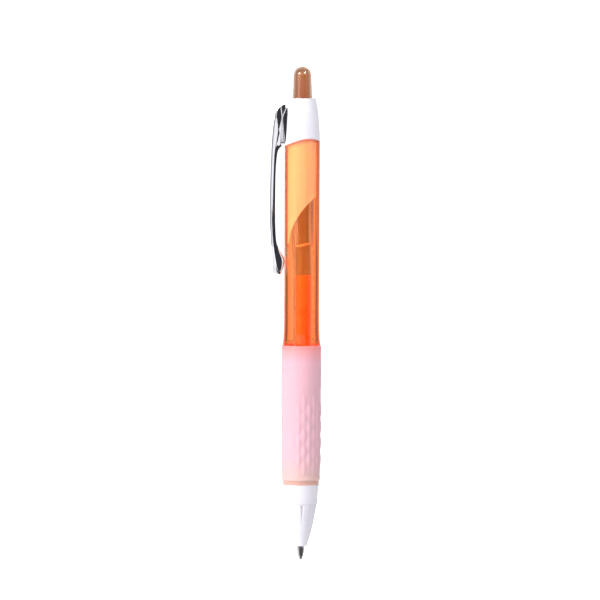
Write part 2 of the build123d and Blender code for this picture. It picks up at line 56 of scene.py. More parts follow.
# ---------------------------------------------------------------- sizes from the frame, in mm
def low_high(node):
    """Lowest and highest corner of a CAD node, in millimetres."""
    low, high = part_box(node)
    return low / MM, high / MM


def heights(node):
    """Lowest and highest point of a CAD node, in millimetres."""
    low, high = low_high(node)
    return low.z, high.z


def radius(node):
    """Radius of a turned CAD node, in millimetres."""
    low, high = low_high(node)
    return (high.y - low.y) / 2


NOSE_END, NOSE_SPIGOT_TOP = heights("nose_cone")
BARREL_END = heights("barrel")[0]
SPIGOT_TOP = 127.0
GRIP_BOTTOM, GRIP_TOP = heights("grip")
COLLAR_TOP = heights("collar")[1]
TUBE_BOTTOM, TUBE_TOP = heights("refill_tube")
INK_BOTTOM, INK_TOP = heights("ink_column")
GREASE_TOP = heights("follower_grease")[1]
CLIP_BOTTOM, CLIP_TOP = heights("clip")
KNOB_BOTTOM, KNOB_TOP = heights("knob")
TIP_TOP = heights("writing_tip")[1]
GRIP_R = radius("grip")
REFILL_R = radius("refill_tube")
FILL_R = radius("ink_column")
TIP_R = radius("writing_tip")
NOSE_R = radius("nose_cone")

# sizes that the box of a node does not give
BARREL_R = 5.11
LIP_R = 5.2
NOSE_NECK_R = 4.9
BORE_R = 4.15
LOWER_BORE_R = 4.0
GRIP_SEAT_R = 4.72
MECHANISM_BORE_R = 3.4
LINING_R = 4.05
FLARE_TOP = GRIP_TOP + 6.0

# joint line between barrel and collar: a cylinder along Y
ARCH_X = 0.7
ARCH_Z = 111.25
ARCH_R = 10.1
ARCH_TOP = ARCH_Z + ARCH_R


def arch(x):
    """Height of the joint line at a distance x from the pen axis."""
    return ARCH_Z + sqrt(ARCH_R**2 - (x - ARCH_X) ** 2)


# ---------------------------------------------------------------- mesh helpers
def smooth_line(points, steps=6):
    """A Catmull-Rom curve through the points."""
    ends = [points[0]] + list(points) + [points[-1]]
    line = []
    for a, b, c, d in zip(ends, ends[1:], ends[2:], ends[3:]):
        for step in range(steps):
            t = step / steps
            line.append(tuple(
                0.5 * (2 * q + (r - p) * t + (2 * p - 5 * q + 4 * r - s) * t * t
                       + (3 * q - p - 3 * r + s) * t**3)
                for p, q, r, s in zip(a, b, c, d)
            ))
    return line + [tuple(points[-1])]


def rounded(points, size, steps=4, closed=True):
    """The outline with each corner turned into a small curve."""
    line = []
    count = len(points)
    for i, (x, y) in enumerate(points):
        if not closed and i in (0, count - 1):
            line.append((x, y))
            continue
        before = points[i - 1]
        after = points[(i + 1) % count]
        to_before = hypot(before[0] - x, before[1] - y)
        to_after = hypot(after[0] - x, after[1] - y)
        cut = min(size, 0.45 * to_before, 0.45 * to_after)
        start = (x + (before[0] - x) * cut / to_before, y + (before[1] - y) * cut / to_before)
        end = (x + (after[0] - x) * cut / to_after, y + (after[1] - y) * cut / to_after)
        for step in range(steps + 1):
            t = step / steps
            line.append(tuple(
                (1 - t) ** 2 * p + 2 * t * (1 - t) * q + t * t * r
                for p, q, r in zip(start, (x, y), end)
            ))
    return line


def new_object(name, mesh_data, sharp=32.0):
    """A smooth-shaded object from a bmesh, with edges kept sharp past an angle."""
    bmesh.ops.remove_doubles(mesh_data, verts=mesh_data.verts, dist=1e-7)
    bmesh.ops.dissolve_degenerate(mesh_data, edges=mesh_data.edges, dist=1e-8)
    bmesh.ops.recalc_face_normals(mesh_data, faces=mesh_data.faces)
    mesh = bpy.data.meshes.new(name)
    mesh_data.to_mesh(mesh)
    mesh_data.free()
    mesh.shade_smooth()
    mesh.set_sharp_from_angle(angle=radians(sharp))
    piece = bpy.data.objects.new(name, mesh)
    scene.collection.objects.link(piece)
    return piece


def loft(name, rings, closed=True, capped=False, sharp=32.0):
    """Joins rings of points, each a closed loop with the same count, into one surface."""
    mesh_data = bmesh.new()
    made = [[mesh_data.verts.new(Vector(point) * MM) for point in ring] for ring in rings]
    pairs = list(zip(made, made[1:]))
    if closed:
        pairs.append((made[-1], made[0]))
    for one, two in pairs:
        for i in range(len(one)):
            j = (i + 1) % len(one)
            mesh_data.faces.new((one[i], one[j], two[j], two[i]))
    if capped:
        mesh_data.faces.new(made[0])
        mesh_data.faces.new(made[-1])
    return new_object(name, mesh_data, sharp)


def lathe(name, outline, segments=160, warp=None, sharp=32.0):
    """Turns a closed outline of (radius, height) about the pen axis. warp moves each point."""
    rings = []
    for r, z in outline:
        ring = []
        for i in range(segments):
            angle = tau * i / segments
            rr, zz = warp(r, z, angle) if warp else (r, z)
            ring.append((rr * cos(angle), rr * sin(angle), zz))
        rings.append(ring)
    return loft(name, rings, closed=True, sharp=sharp)


def place(piece, body, slot, material, *replaced):
    """Puts a finished piece on its body, with its material. slot is not used."""
    piece.data.materials.clear()
    piece.data.materials.append(material)
    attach(piece, body)
    if replaced:
        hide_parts(*replaced)


def paint_faces(piece, material, chosen):
    """Gives the material to the chosen faces, by their middle in millimetres and their normal."""
    piece.data.materials.append(material)
    index = len(piece.data.materials) - 1
    for face in piece.data.polygons:
        if chosen(face.center / MM, face.normal):
            face.material_index = index


# ---------------------------------------------------------------- material helpers
def new_material(name):
    """A material with its Principled shader and output."""
    material = bpy.data.materials.new(name)
    material.use_nodes = True
    tree = material.node_tree
    return material, tree, tree.nodes["Principled BSDF"]


def set_values(shader, **values):
    """Sets shader sockets by name, with _ for a space."""
    for key, value in values.items():
        shader.inputs[key.replace("_", " ")].default_value = value


def add_glow(material, colour, strength):
    """Makes a finished material give off some light of its own."""
    shader = material.node_tree.nodes["Principled BSDF"]
    set_values(shader, Emission_Color=(*colour, 1), Emission_Strength=strength)


def object_noise(tree, scale, detail=3.0, stretch=(1, 1, 1)):
    """Noise in the object's own space, scale in cycles per metre."""
    coordinates = tree.nodes.new("ShaderNodeTexCoord")
    mapping = tree.nodes.new("ShaderNodeMapping")
    mapping.inputs["Scale"].default_value = stretch
    noise = tree.nodes.new("ShaderNodeTexNoise")
    noise.inputs["Scale"].default_value = scale
    noise.inputs["Detail"].default_value = detail
    tree.links.new(coordinates.outputs["Object"], mapping.inputs["Vector"])
    tree.links.new(mapping.outputs["Vector"], noise.inputs["Vector"])
    return noise.outputs["Fac"]


def ramp(tree, source, stops):
    """A colour ramp from a value. stops are (place, colour)."""
    node = tree.nodes.new("ShaderNodeValToRGB")
    elements = node.color_ramp.elements
    while len(elements) < len(stops):
        elements.new(0.5)
    for element, (spot, colour) in zip(elements, stops):
        element.position = spot
        element.color = (*colour, 1)
    tree.links.new(source, node.inputs["Fac"])
    return node.outputs["Color"]


def spread(tree, source, low, high):
    """A value spread from 0..1 to low..high."""
    node = tree.nodes.new("ShaderNodeMapRange")
    node.inputs["To Min"].default_value = low
    node.inputs["To Max"].default_value = high
    tree.links.new(source, node.inputs["Value"])
    return node.outputs["Result"]


def bump(tree, shader, source, strength, distance):
    """Bump from a value, distance in metres."""
    node = tree.nodes.new("ShaderNodeBump")
    node.inputs["Strength"].default_value = strength
    node.inputs["Distance"].default_value = distance
    tree.links.new(source, node.inputs["Height"])
    tree.links.new(node.outputs["Normal"], shader.inputs["Normal"])


def height_value(tree, low, high):
    """0 at the height low and 1 at the height high, in millimetres."""
    coordinates = tree.nodes.new("ShaderNodeTexCoord")
    split = tree.nodes.new("ShaderNodeSeparateXYZ")
    node = tree.nodes.new("ShaderNodeMapRange")
    node.inputs["From Min"].default_value = low * MM
    node.inputs["From Max"].default_value = high * MM
    tree.links.new(coordinates.outputs["Object"], split.inputs["Vector"])
    tree.links.new(split.outputs["Z"], node.inputs["Value"])
    return node.outputs["Result"]


def let_light_in(tree, shader, tint):
    """Lamps shine through the piece with this tint, so that what it holds is lit."""
    path = tree.nodes.new("ShaderNodeLightPath")
    clear = tree.nodes.new("ShaderNodeBsdfTransparent")
    clear.inputs["Color"].default_value = (*tint, 1)
    mix = tree.nodes.new("ShaderNodeMixShader")
    output = tree.nodes["Material Output"]
    tree.links.new(path.outputs["Is Shadow Ray"], mix.inputs["Fac"])
    tree.links.new(shader.outputs["BSDF"], mix.inputs[1])
    tree.links.new(clear.outputs["BSDF"], mix.inputs[2])
    tree.links.new(mix.outputs["Shader"], output.inputs["Surface"])


def absorb(tree, colour, density):
    """Colours light by how far it goes inside the piece."""
    volume = tree.nodes.new("ShaderNodeVolumeAbsorption")
    volume.inputs["Color"].default_value = (*colour, 1)
    volume.inputs["Density"].default_value = density
    tree.links.new(volume.outputs["Volume"], tree.nodes["Material Output"].inputs["Volume"])


# ---------------------------------------------------------------- materials
def clear_orange(name, smooth, rough, stain, paint=((1.0, 0.93, 0.86), (1.0, 0.97, 0.93))):
    """Clear plastic, stained through its depth, with a light paint on its surface."""
    material, tree, shader = new_material(name)
    flow = object_noise(tree, 260.0, 2.0, (1, 1, 0.15))
    tint = ramp(tree, flow, [(0.3, paint[0]), (0.7, paint[1])])
    tree.links.new(tint, shader.inputs["Base Color"])
    tree.links.new(spread(tree, flow, smooth, rough), shader.inputs["Roughness"])
    set_values(shader, Transmission_Weight=1.0, IOR=1.47)
    bump(tree, shader, flow, 0.1, 0.000002)
    absorb(tree, stain, 1500.0)
    let_light_in(tree, shader, (1.35, 1.6, 1.6))
    return material


def milky(name, colour, roughness, transmission):
    """Slightly hazy clear plastic or grease."""
    material, tree, shader = new_material(name)
    cloud = object_noise(tree, 400.0, 3.0)
    paler = tuple(min(1.0, part * 1.03) for part in colour)
    tree.links.new(ramp(tree, cloud, [(0.3, colour), (0.7, paler)]), shader.inputs["Base Color"])
    tree.links.new(spread(tree, cloud, roughness, roughness + 0.08), shader.inputs["Roughness"])
    set_values(shader, Transmission_Weight=transmission, IOR=1.49)
    let_light_in(tree, shader, (0.92, 0.92, 0.92))
    return material


def plastic(name, dark, light, roughness, subsurface=0.0, grain=0.000004):
    """Opaque plastic, mottled between two colours."""
    material, tree, shader = new_material(name)
    broad = object_noise(tree, 90.0, 4.0)
    fine = object_noise(tree, 4200.0, 2.0)
    tree.links.new(ramp(tree, broad, [(0.35, dark), (0.65, light)]), shader.inputs["Base Color"])
    tree.links.new(spread(tree, broad, roughness, roughness + 0.1), shader.inputs["Roughness"])
    set_values(shader, IOR=1.5, Subsurface_Weight=subsurface, Subsurface_Scale=0.001)
    bump(tree, shader, fine, 0.25, grain)
    return material


def metal(name, dark, light, roughness, stretch=(1, 1, 1), scale=600.0, depth=0.000003):
    """Bare or plated metal, its marks drawn out by stretch."""
    material, tree, shader = new_material(name)
    brushed = object_noise(tree, scale, 4.0, stretch)
    tree.links.new(ramp(tree, brushed, [(0.3, dark), (0.7, light)]), shader.inputs["Base Color"])
    tree.links.new(
        spread(tree, brushed, roughness, roughness + 0.08), shader.inputs["Roughness"]
    )
    set_values(shader, Metallic=1.0)
    bump(tree, shader, brushed, 0.3, depth)
    return material


def soft_pink():
    """Frosted rubber: pink, with the orange of the barrel showing where the sleeve is thin."""
    material, tree, shader = new_material("soft_pink")
    along = height_value(tree, GRIP_BOTTOM, GRIP_TOP)
    body = ramp(tree, along, [
        (0.0, (1.0, 0.58, 0.52)),
        (0.05, (1.0, 0.58, 0.56)),
        (0.2, (1.0, 0.555, 0.62)),
        (0.88, (1.0, 0.535, 0.60)),
        (0.96, (1.0, 0.43, 0.45)),
        (1.0, (1.0, 0.33, 0.31)),
    ])
    mottle = object_noise(tree, 500.0, 4.0)
    mix = tree.nodes.new("ShaderNodeMix")
    mix.data_type = "RGBA"
    mix.blend_type = "MULTIPLY"
    mix.inputs["Factor"].default_value = 0.35
    tree.links.new(body, mix.inputs["A"])
    tree.links.new(
        ramp(tree, mottle, [(0.3, (0.93, 0.92, 0.94)), (0.7, (1.0, 1.0, 1.0))]), mix.inputs["B"]
    )
    tree.links.new(mix.outputs["Result"], shader.inputs["Base Color"])
    fine = object_noise(tree, 6000.0, 2.0)
    tree.links.new(spread(tree, mottle, 0.42, 0.55), shader.inputs["Roughness"])
    set_values(
        shader,
        Subsurface_Weight=0.6,
        Subsurface_Radius=(1.0, 0.8, 0.8),
        Subsurface_Scale=0.002,
        IOR=1.42,
    )
    bump(tree, shader, fine, 0.3, 0.000006)
    return material


def orange_ink():
    """Vivid gel ink, which glows a little."""
    material, tree, shader = new_material("orange_ink")
    swirl = object_noise(tree, 300.0, 3.0, (1, 1, 0.2))
    tree.links.new(
        ramp(tree, swirl, [(0.3, (1.0, 0.105, 0.002)), (0.7, (1.0, 0.15, 0.004))]),
        shader.inputs["Base Color"],
    )
    tree.links.new(spread(tree, swirl, 0.2, 0.35), shader.inputs["Roughness"])
    set_values(
        shader,
        Emission_Color=(1.0, 0.14, 0.0, 1),
        Emission_Strength=0.25,
        Subsurface_Weight=0.2,
        Subsurface_Scale=0.001,
    )
    return material


ORANGE = clear_orange("clear_orange", 0.02, 0.05, (0.98, 0.573, 0.14))
BROWN = clear_orange("clear_brown", 0.02, 0.05, (0.93, 0.79, 0.67))
FROSTED = clear_orange(
    "frosted_brown", 0.25, 0.4, (0.93, 0.79, 0.67), ((0.88, 0.76, 0.56), (0.94, 0.82, 0.62))
)
CORAL = plastic("coral_edge", (0.80, 0.20, 0.09), (0.86, 0.26, 0.13), 0.2)
PEACH = plastic("peach_lip", (0.80, 0.42, 0.34), (0.86, 0.48, 0.40), 0.25, subsurface=0.2)
PINK = soft_pink()
WHITE = plastic("white_plastic", (0.88, 0.86, 0.91), (0.93, 0.91, 0.95), 0.22, subsurface=0.05)
NATURAL = plastic("mechanism_plastic", (0.80, 0.79, 0.76), (0.87, 0.86, 0.83), 0.42)
# white lining with painted light: it has a faint bluish glow of its own, so it shows brighter
# through the orange barrel than the lamps make it
LINING_WITH_PAINTED_LIGHT = plastic("lining_plastic_painted_light", (0.86, 0.85, 0.84), (0.92, 0.91, 0.90), 0.35)
add_glow(LINING_WITH_PAINTED_LIGHT, (0.5, 0.55, 1.0), 0.4)
MILKY = milky("milky_plastic", (0.95, 0.93, 0.90), 0.18, 1.0)
FILM = milky("milky_film", (0.50, 0.33, 0.17), 0.12, 1.0)
GREASE = milky("clear_grease", (0.96, 0.90, 0.80), 0.05, 1.0)
# painted highlight: the curved top of the clear grease is drawn as an opaque light peach that glows
MENISCUS_HIGHLIGHT = plastic("meniscus_painted_highlight", (0.95, 0.55, 0.42), (1.0, 0.62, 0.48), 0.15)
add_glow(MENISCUS_HIGHLIGHT, (1.0, 0.6, 0.5), 0.8)
INK = orange_ink()
CHROME = metal(
    "clip_chrome", (0.86, 0.86, 0.88), (0.93, 0.93, 0.95), 0.03, (1, 1, 0.2), 300.0, 0.000002
)
# chrome with a painted highlight: this face gives off a white glow of its own
CHROME_FACE_WITH_PAINTED_HIGHLIGHT = metal("clip_face_painted_highlight", (0.92, 0.92, 0.93), (0.96, 0.96, 0.97), 0.12)
add_glow(CHROME_FACE_WITH_PAINTED_HIGHLIGHT, (1, 1, 1), 0.6)
STEEL = metal("tip_steel", (0.62, 0.60, 0.59), (0.74, 0.72, 0.71), 0.16, (0.05, 0.05, 1), 5000.0)
WIRE = metal("spring_steel", (0.50, 0.50, 0.51), (0.62, 0.62, 0.63), 0.22)
CARBIDE = metal("ball_carbide", (0.26, 0.26, 0.28), (0.36, 0.36, 0.38), 0.12)


# ---------------------------------------------------------------- barrel
# height of the strip at the top edge where the plastic looks darkest
EDGE_LINE = 0.22


def arch_warp(r, z, angle):
    """Points at the top of a wall follow the arched joint line."""
    if z > ARCH_TOP - 1.5 and z < ARCH_TOP + 0.5:
        return r, z - ARCH_TOP + arch(r * cos(angle))
    return r, z


def make_barrel():
    """Clear tube, flared above the grip, thin under it, with its lip below the grip."""
    flare = smooth_line([
        (5.44, GRIP_TOP + 0.3),
        (5.43, GRIP_TOP + 0.7),
        (5.35, GRIP_TOP + 1.2),
        (5.27, GRIP_TOP + 1.9),
        (5.18, GRIP_TOP + 3.8),
        (5.12, GRIP_TOP + 6.2),
    ])
    outside = rounded([
        (LOWER_BORE_R, GRIP_BOTTOM),
        (NOSE_NECK_R + 0.04, GRIP_BOTTOM),
        (NOSE_NECK_R + 0.04, BARREL_END),
        (LIP_R - 0.05, BARREL_END),
        (LIP_R, GRIP_BOTTOM),
        (GRIP_SEAT_R, GRIP_BOTTOM),
        (GRIP_SEAT_R, GRIP_TOP),
        (5.36, GRIP_TOP),
    ], 0.12, closed=False)
    upper = [(5.1, 71.0), (5.09, 85.0), (5.1, 105.0), (BARREL_R, 118.0)]
    top = rounded([
        (BARREL_R, ARCH_TOP - EDGE_LINE),
        (BARREL_R, ARCH_TOP),
        (BORE_R, ARCH_TOP),
        (BORE_R, FLARE_TOP),
    ], 0.08, closed=False)
    bore = smooth_line([
        (BORE_R, FLARE_TOP),
        (4.19, GRIP_TOP + 3.8),
        (4.27, GRIP_TOP + 1.9),
        (4.34, GRIP_TOP + 0.9),
        (4.34, GRIP_TOP + 0.3),
        (LOWER_BORE_R, GRIP_TOP - 1.5),
    ])
    piece = lathe("barrel_shell", outside + flare + upper + top + bore[1:], 224, arch_warp)
    place(piece, "barrel", "clear_orange", ORANGE, "barrel")

    def top_edge(middle, normal):
        outer = hypot(middle.x, middle.y) > BORE_R + 0.2
        return outer and middle.z > arch(middle.x) - EDGE_LINE

    def flare_foot_or_lip(middle, normal):
        r = hypot(middle.x, middle.y)
        under_flare = r > GRIP_SEAT_R and abs(middle.z - GRIP_TOP) < 0.12
        lip = r > NOSE_NECK_R and middle.z < GRIP_BOTTOM + 0.02
        return under_flare or lip

    paint_faces(piece, CORAL, top_edge)
    paint_faces(piece, PEACH, flare_foot_or_lip)


# ---------------------------------------------------------------- grip
OVAL_COLUMNS = 15
OVAL_STEP = radians(16.4)
OVAL_PITCH = 4.75
OVAL_HALF_LENGTH = 2.15
OVAL_HALF_WIDTH = 0.74
OVAL_HEIGHT = 0.2
OVAL_LOW = GRIP_BOTTOM + 1.6
OVAL_HIGH = GRIP_BOTTOM + 24.6


def oval_rise(angle, z):
    """How far the raised ovals stand out of the grip at a place."""
    if angle > pi:
        angle -= tau
    column = round(angle / OVAL_STEP)
    if abs(column) > OVAL_COLUMNS // 2:
        return 0.0
    across = (angle - column * OVAL_STEP) * GRIP_R / OVAL_HALF_WIDTH
    offset = OVAL_PITCH / 2 if column % 2 else 0.0
    row = round((z - OVAL_LOW - OVAL_HALF_LENGTH - offset) / OVAL_PITCH)
    centre = OVAL_LOW + OVAL_HALF_LENGTH + offset + row * OVAL_PITCH
    too_low = centre - OVAL_HALF_LENGTH < OVAL_LOW - 0.1
    too_high = centre + OVAL_HALF_LENGTH > OVAL_HIGH + 2.2
    if too_low or too_high:
        return 0.0
    along = (z - centre) / OVAL_HALF_LENGTH
    edge = across**2 + abs(along) ** 2.2
    if edge >= 1:
        return 0.0
    return OVAL_HEIGHT * (1 - edge) ** 0.9


def grip_warp(r, z, angle):
    """Sinks the ground of the ovals a little and raises the ovals from it."""
    if r < GRIP_R - 0.45 or z < GRIP_BOTTOM + 0.9 or z > GRIP_TOP - 1.5:
        return r, z
    ground = 0.0
    if OVAL_LOW - 0.6 < z < OVAL_HIGH + 2.0:
        ground = 0.1 * max(0.0, min(1.0, 3 * (cos(angle) + 0.45)))
    return r - ground + oval_rise(angle, z), z


def make_grip():
    """Soft sleeve with raised ovals, its top edge round the foot of the barrel's flare."""
    lower = [
        (GRIP_SEAT_R + 0.05, GRIP_BOTTOM + 0.03),
        (5.27, GRIP_BOTTOM + 0.03),
        (5.42, GRIP_BOTTOM + 0.12),
        (5.51, GRIP_BOTTOM + 0.5),
        (5.55, GRIP_BOTTOM + 1.0),
    ]
    shape = smooth_line([
        (5.55, GRIP_BOTTOM + 1.0),
        (5.6, 26.0),
        (5.65, 30.0),
        (5.7, 36.0),
        (5.73, 44.0),
        (5.74, 52.0),
        (5.73, 58.0),
        (5.7, GRIP_TOP - 1.2),
    ], 1)
    # rows close enough together to carry the ovals
    rows = 230
    face = []
    for row in range(rows + 1):
        z = GRIP_BOTTOM + 1.0 + (GRIP_TOP - 1.2 - GRIP_BOTTOM - 1.0) * row / rows
        above = next(i for i, point in enumerate(shape) if point[1] >= z - 1e-6)
        a, b = shape[max(above - 1, 0)], shape[above]
        share = 0 if b[1] == a[1] else (z - a[1]) / (b[1] - a[1])
        face.append((a[0] + (b[0] - a[0]) * share, z))
    upper = smooth_line([
        (5.7, GRIP_TOP - 1.2),
        (5.69, GRIP_TOP - 0.6),
        (5.66, GRIP_TOP - 0.1),
        (5.6, GRIP_TOP + 0.12),
        (5.52, GRIP_TOP + 0.22),
    ], 4)
    inner = [
        (5.48, GRIP_TOP + 0.18),
        (5.4, GRIP_TOP - 0.02),
        (GRIP_SEAT_R + 0.05, GRIP_TOP - 0.02),
    ]
    outline = lower + face + upper[1:] + inner
    piece = lathe("grip_sleeve", outline, 420, grip_warp, sharp=50.0)
    place(piece, "barrel", "soft_pink", PINK, "grip")


# ---------------------------------------------------------------- nose cone
NOSE_TOP = BARREL_END
NOSE_STEP = NOSE_END + 12.2
FLUTE_TOP = NOSE_STEP - 0.35
FLUTE_END = NOSE_END + 5.6
FLUTES = 6
FLUTE_START = radians(-102.0)


def nose_warp(r, z, angle):
    """Cuts the flutes, deepest and widest at their top."""
    if z > FLUTE_TOP or z < FLUTE_END or r < 2.7:
        return r, z
    step = tau / FLUTES
    turn = (angle - FLUTE_START + step / 2) % step - step / 2
    share = (z - FLUTE_END) / (FLUTE_TOP - FLUTE_END)
    half_width = 0.05 + 0.42 * share
    depth = 0.95 * share**1.15
    if share > 0.9:
        half_width += 0.12 * (share - 0.9) / 0.1
    across = abs(turn) * r
    if across >= half_width:
        return r, z
    return r - depth * (1 - across / half_width), z


def make_nose():
    """Stepped white cone with a neck inside the barrel."""
    cone = smooth_line([
        (1.8, NOSE_END + 0.22),
        (2.15, 5.3),
        (2.87, 7.6),
        (3.42, 9.9),
        (3.92, 12.2),
        (4.3, 14.5),
        (4.52, NOSE_STEP - 0.3),
    ], 14)
    cone = [point for point in cone if point[1] <= FLUTE_TOP - 0.02]
    step = [
        (4.51, FLUTE_TOP - 0.015),
        (4.51, FLUTE_TOP + 0.015),
        (4.53, NOSE_STEP - 0.16),
        (4.56, NOSE_STEP - 0.07),
        (4.64, NOSE_STEP),
        (4.75, NOSE_STEP + 0.05),
        (4.8, NOSE_STEP + 0.14),
    ]
    band = smooth_line([
        (4.8, NOSE_STEP + 0.14),
        (4.88, 18.4),
        (4.98, 20.0),
        (NOSE_R + 0.16, NOSE_TOP - 0.12),
    ], 5)
    inside = [
        (NOSE_R + 0.13, NOSE_TOP - 0.03),
        (NOSE_R + 0.06, NOSE_TOP),
        (NOSE_NECK_R, NOSE_TOP),
        (NOSE_NECK_R, GRIP_BOTTOM - 0.05),
        (LOWER_BORE_R - 0.05, GRIP_BOTTOM - 0.05),
        (LOWER_BORE_R - 0.05, NOSE_SPIGOT_TOP),
        (REFILL_R + 0.2, NOSE_SPIGOT_TOP),
        (REFILL_R + 0.2, 19.2),
        (2.5, 19.2),
        (2.5, 8.3),
        (1.9, 8.3),
        (1.9, 7.2),
        (1.28, 6.0),
        (1.28, NOSE_END + 0.08),
        (1.34, NOSE_END),
        (1.55, NOSE_END),
        (1.68, NOSE_END + 0.06),
    ]
    piece = lathe("nose_shell", cone + step + band[1:] + inside, 480, nose_warp, sharp=40.0)
    place(piece, "barrel", "white_plastic", WHITE, "nose_cone")


# ---------------------------------------------------------------- collar
BOSS_HALF = 1.2
BOSS_EDGE = 0.12
BOSS_CENTRE = (-5.8, 126.2)


def make_collar():
    """White head with an arched lower edge, and the boss that holds the clip."""
    side = smooth_line([
        (5.12, ARCH_TOP + 0.25),
        (5.05, 123.0),
        (4.92, 125.0),
        (4.79, 126.7),
        (4.64, 128.5),
        (4.35, 130.2),
        (4.09, 131.9),
        (3.98, COLLAR_TOP - 0.5),
    ], 5)
    top = [
        (3.88, COLLAR_TOP - 0.22),
        (3.74, COLLAR_TOP - 0.06),
        (3.5, COLLAR_TOP),
        (3.05, COLLAR_TOP),
        (2.97, COLLAR_TOP - 0.05),
        (2.95, COLLAR_TOP - 0.15),
        (2.95, COLLAR_TOP - 1.5),
        (MECHANISM_BORE_R, COLLAR_TOP - 1.5),
        (MECHANISM_BORE_R, SPIGOT_TOP + 0.1),
        (LINING_R + 0.05, SPIGOT_TOP + 0.1),
        (LINING_R + 0.05, ARCH_TOP + 0.02),
        (5.06, ARCH_TOP + 0.02),
        (5.12, ARCH_TOP + 0.08),
    ]

    def warp(r, z, angle):
        if z < ARCH_TOP + 0.3:
            return r, z - ARCH_TOP + arch(r * cos(angle))
        return r, z

    piece = lathe("collar_cap", side + top, 224, warp)
    outline = rounded([
        (-4.1, 122.0), (-7.2, 122.8), (-7.7, 128.4), (-5.4, 130.0), (-3.9, 130.6), (-3.9, 122.0)
    ], 0.25)
    rings = []
    for y, inset in (
        (-BOSS_HALF, BOSS_EDGE),
        (-BOSS_HALF + BOSS_EDGE, 0),
        (BOSS_HALF - BOSS_EDGE, 0),
        (BOSS_HALF, BOSS_EDGE),
    ):
        ring = []
        for x, z in outline:
            toward = Vector((BOSS_CENTRE[0] - x, BOSS_CENTRE[1] - z))
            toward.normalize()
            ring.append((x + toward.x * inset, y, z + toward.y * inset))
        rings.append(ring)
    boss = loft("collar_boss", rings, closed=False, capped=True)
    place(boss, "barrel", "white_plastic", WHITE)
    place(piece, "barrel", "white_plastic", WHITE, "collar")


# ---------------------------------------------------------------- clip
SHEET = 0.4
# the folds of the clip's head end at this height
HEAD_END = 118.5
HEAD_ROW = 0.07


def table_value(table, z):
    """The value at a height, from (height, value) pairs, highest first."""
    if z >= table[0][0]:
        return table[0][1]
    for (z0, v0), (z1, v1) in zip(table, table[1:]):
        if z1 <= z <= z0:
            share = (z0 - z) / (z0 - z1)
            return v0 + (v1 - v0) * share
    return table[-1][1]


# each line of (height, value), from the top down: outer face, inner edge and half width
CLIP_BACK = smooth_line([
    (131.55, -5.5), (130.9, -6.6), (130.2, -7.6), (129.6, -8.15), (128.6, -8.42), (123.9, -8.93),
    (118.1, -9.4), (110.0, -9.72), (101.0, -9.86), (95.1, -9.68), (89.3, -9.23), (85.2, -8.6),
    (83.4, -8.2), (82.6, -7.85), (82.25, -7.45),
], 12)
CLIP_INSIDE = smooth_line([
    (131.55, -5.6), (130.7, -5.7), (130.2, -5.6), (129.8, -5.0), (126.5, -5.15), (123.0, -5.35),
    (120.6, -5.55), (119.8, -5.95), (118.9, -7.1), (117.4, -8.0), (112.4, -8.5), (105.0, -8.64),
    (97.0, -8.6), (91.9, -8.25), (90.0, -7.5), (87.6, -5.9), (86.6, -5.42), (85.6, -5.45),
    (84.6, -5.75), (83.2, -6.45), (82.5, -6.8), (82.25, -7.2),
], 12)
CLIP_WIDTH = [
    (131.55, 1.85), (131.4, 2.02), (131.2, 2.1), (83.4, 2.1), (82.9, 2.02), (82.5, 1.8),
    (82.25, 1.4),
]
# roundness of the outer edges, and near the foot of the edge that faces the barrel
CLIP_CORNER = [
    (131.55, 0.12), (128.0, 0.15), (126.5, 0.6), (125.0, 1.2), (123.0, 1.6), (121.0, 1.3),
    (119.0, 0.8), (117.0, 0.55), (82.25, 0.5),
]
CLIP_BELLY = [(90.5, 0.03), (89.5, 0.5), (88.0, 1.0), (86.5, 1.3), (85.0, 1.1), (82.25, 0.4)]


# Two creases cross on each side of the clip's head. Each is a line of (height, x).
CREASE_DOWN = [
    (131.2, -7.1), (129.1, -6.87), (127.3, -6.66), (124.1, -6.36), (120.3, -5.85), (119.0, -5.6),
]
CREASE_BACK = [
    (130.6, -5.2), (129.8, -5.64), (127.9, -6.45), (127.3, -6.66), (125.5, -7.08), (122.7, -7.84),
    (121.1, -8.23), (119.0, -8.7),
]
CROSSING_Z = 127.3
RIDGE = 0.05
RIDGE_HALF_WIDTH = 0.1
FOLD_SLOPE = 0.17
FOLD_DEPTH = 0.22


def fold(x, z):
    """How far the side of the clip stands out at a place."""
    if z < HEAD_END:
        return 0.0
    fade = min(1.0, (z - HEAD_END) / 1.5)
    down = table_value(CREASE_DOWN, z)
    back = table_value(CREASE_BACK, z)
    out = 0.0
    for line in (down, back):
        out += RIDGE * max(0.0, 1 - abs(x - line) / RIDGE_HALF_WIDTH)
    if z < CROSSING_Z and back < x < down:
        out -= min(FOLD_DEPTH, FOLD_SLOPE * min(x - back, down - x))
    return out * fade


SIDE_POINTS = 48
CORNER_DEPTH = 0.4


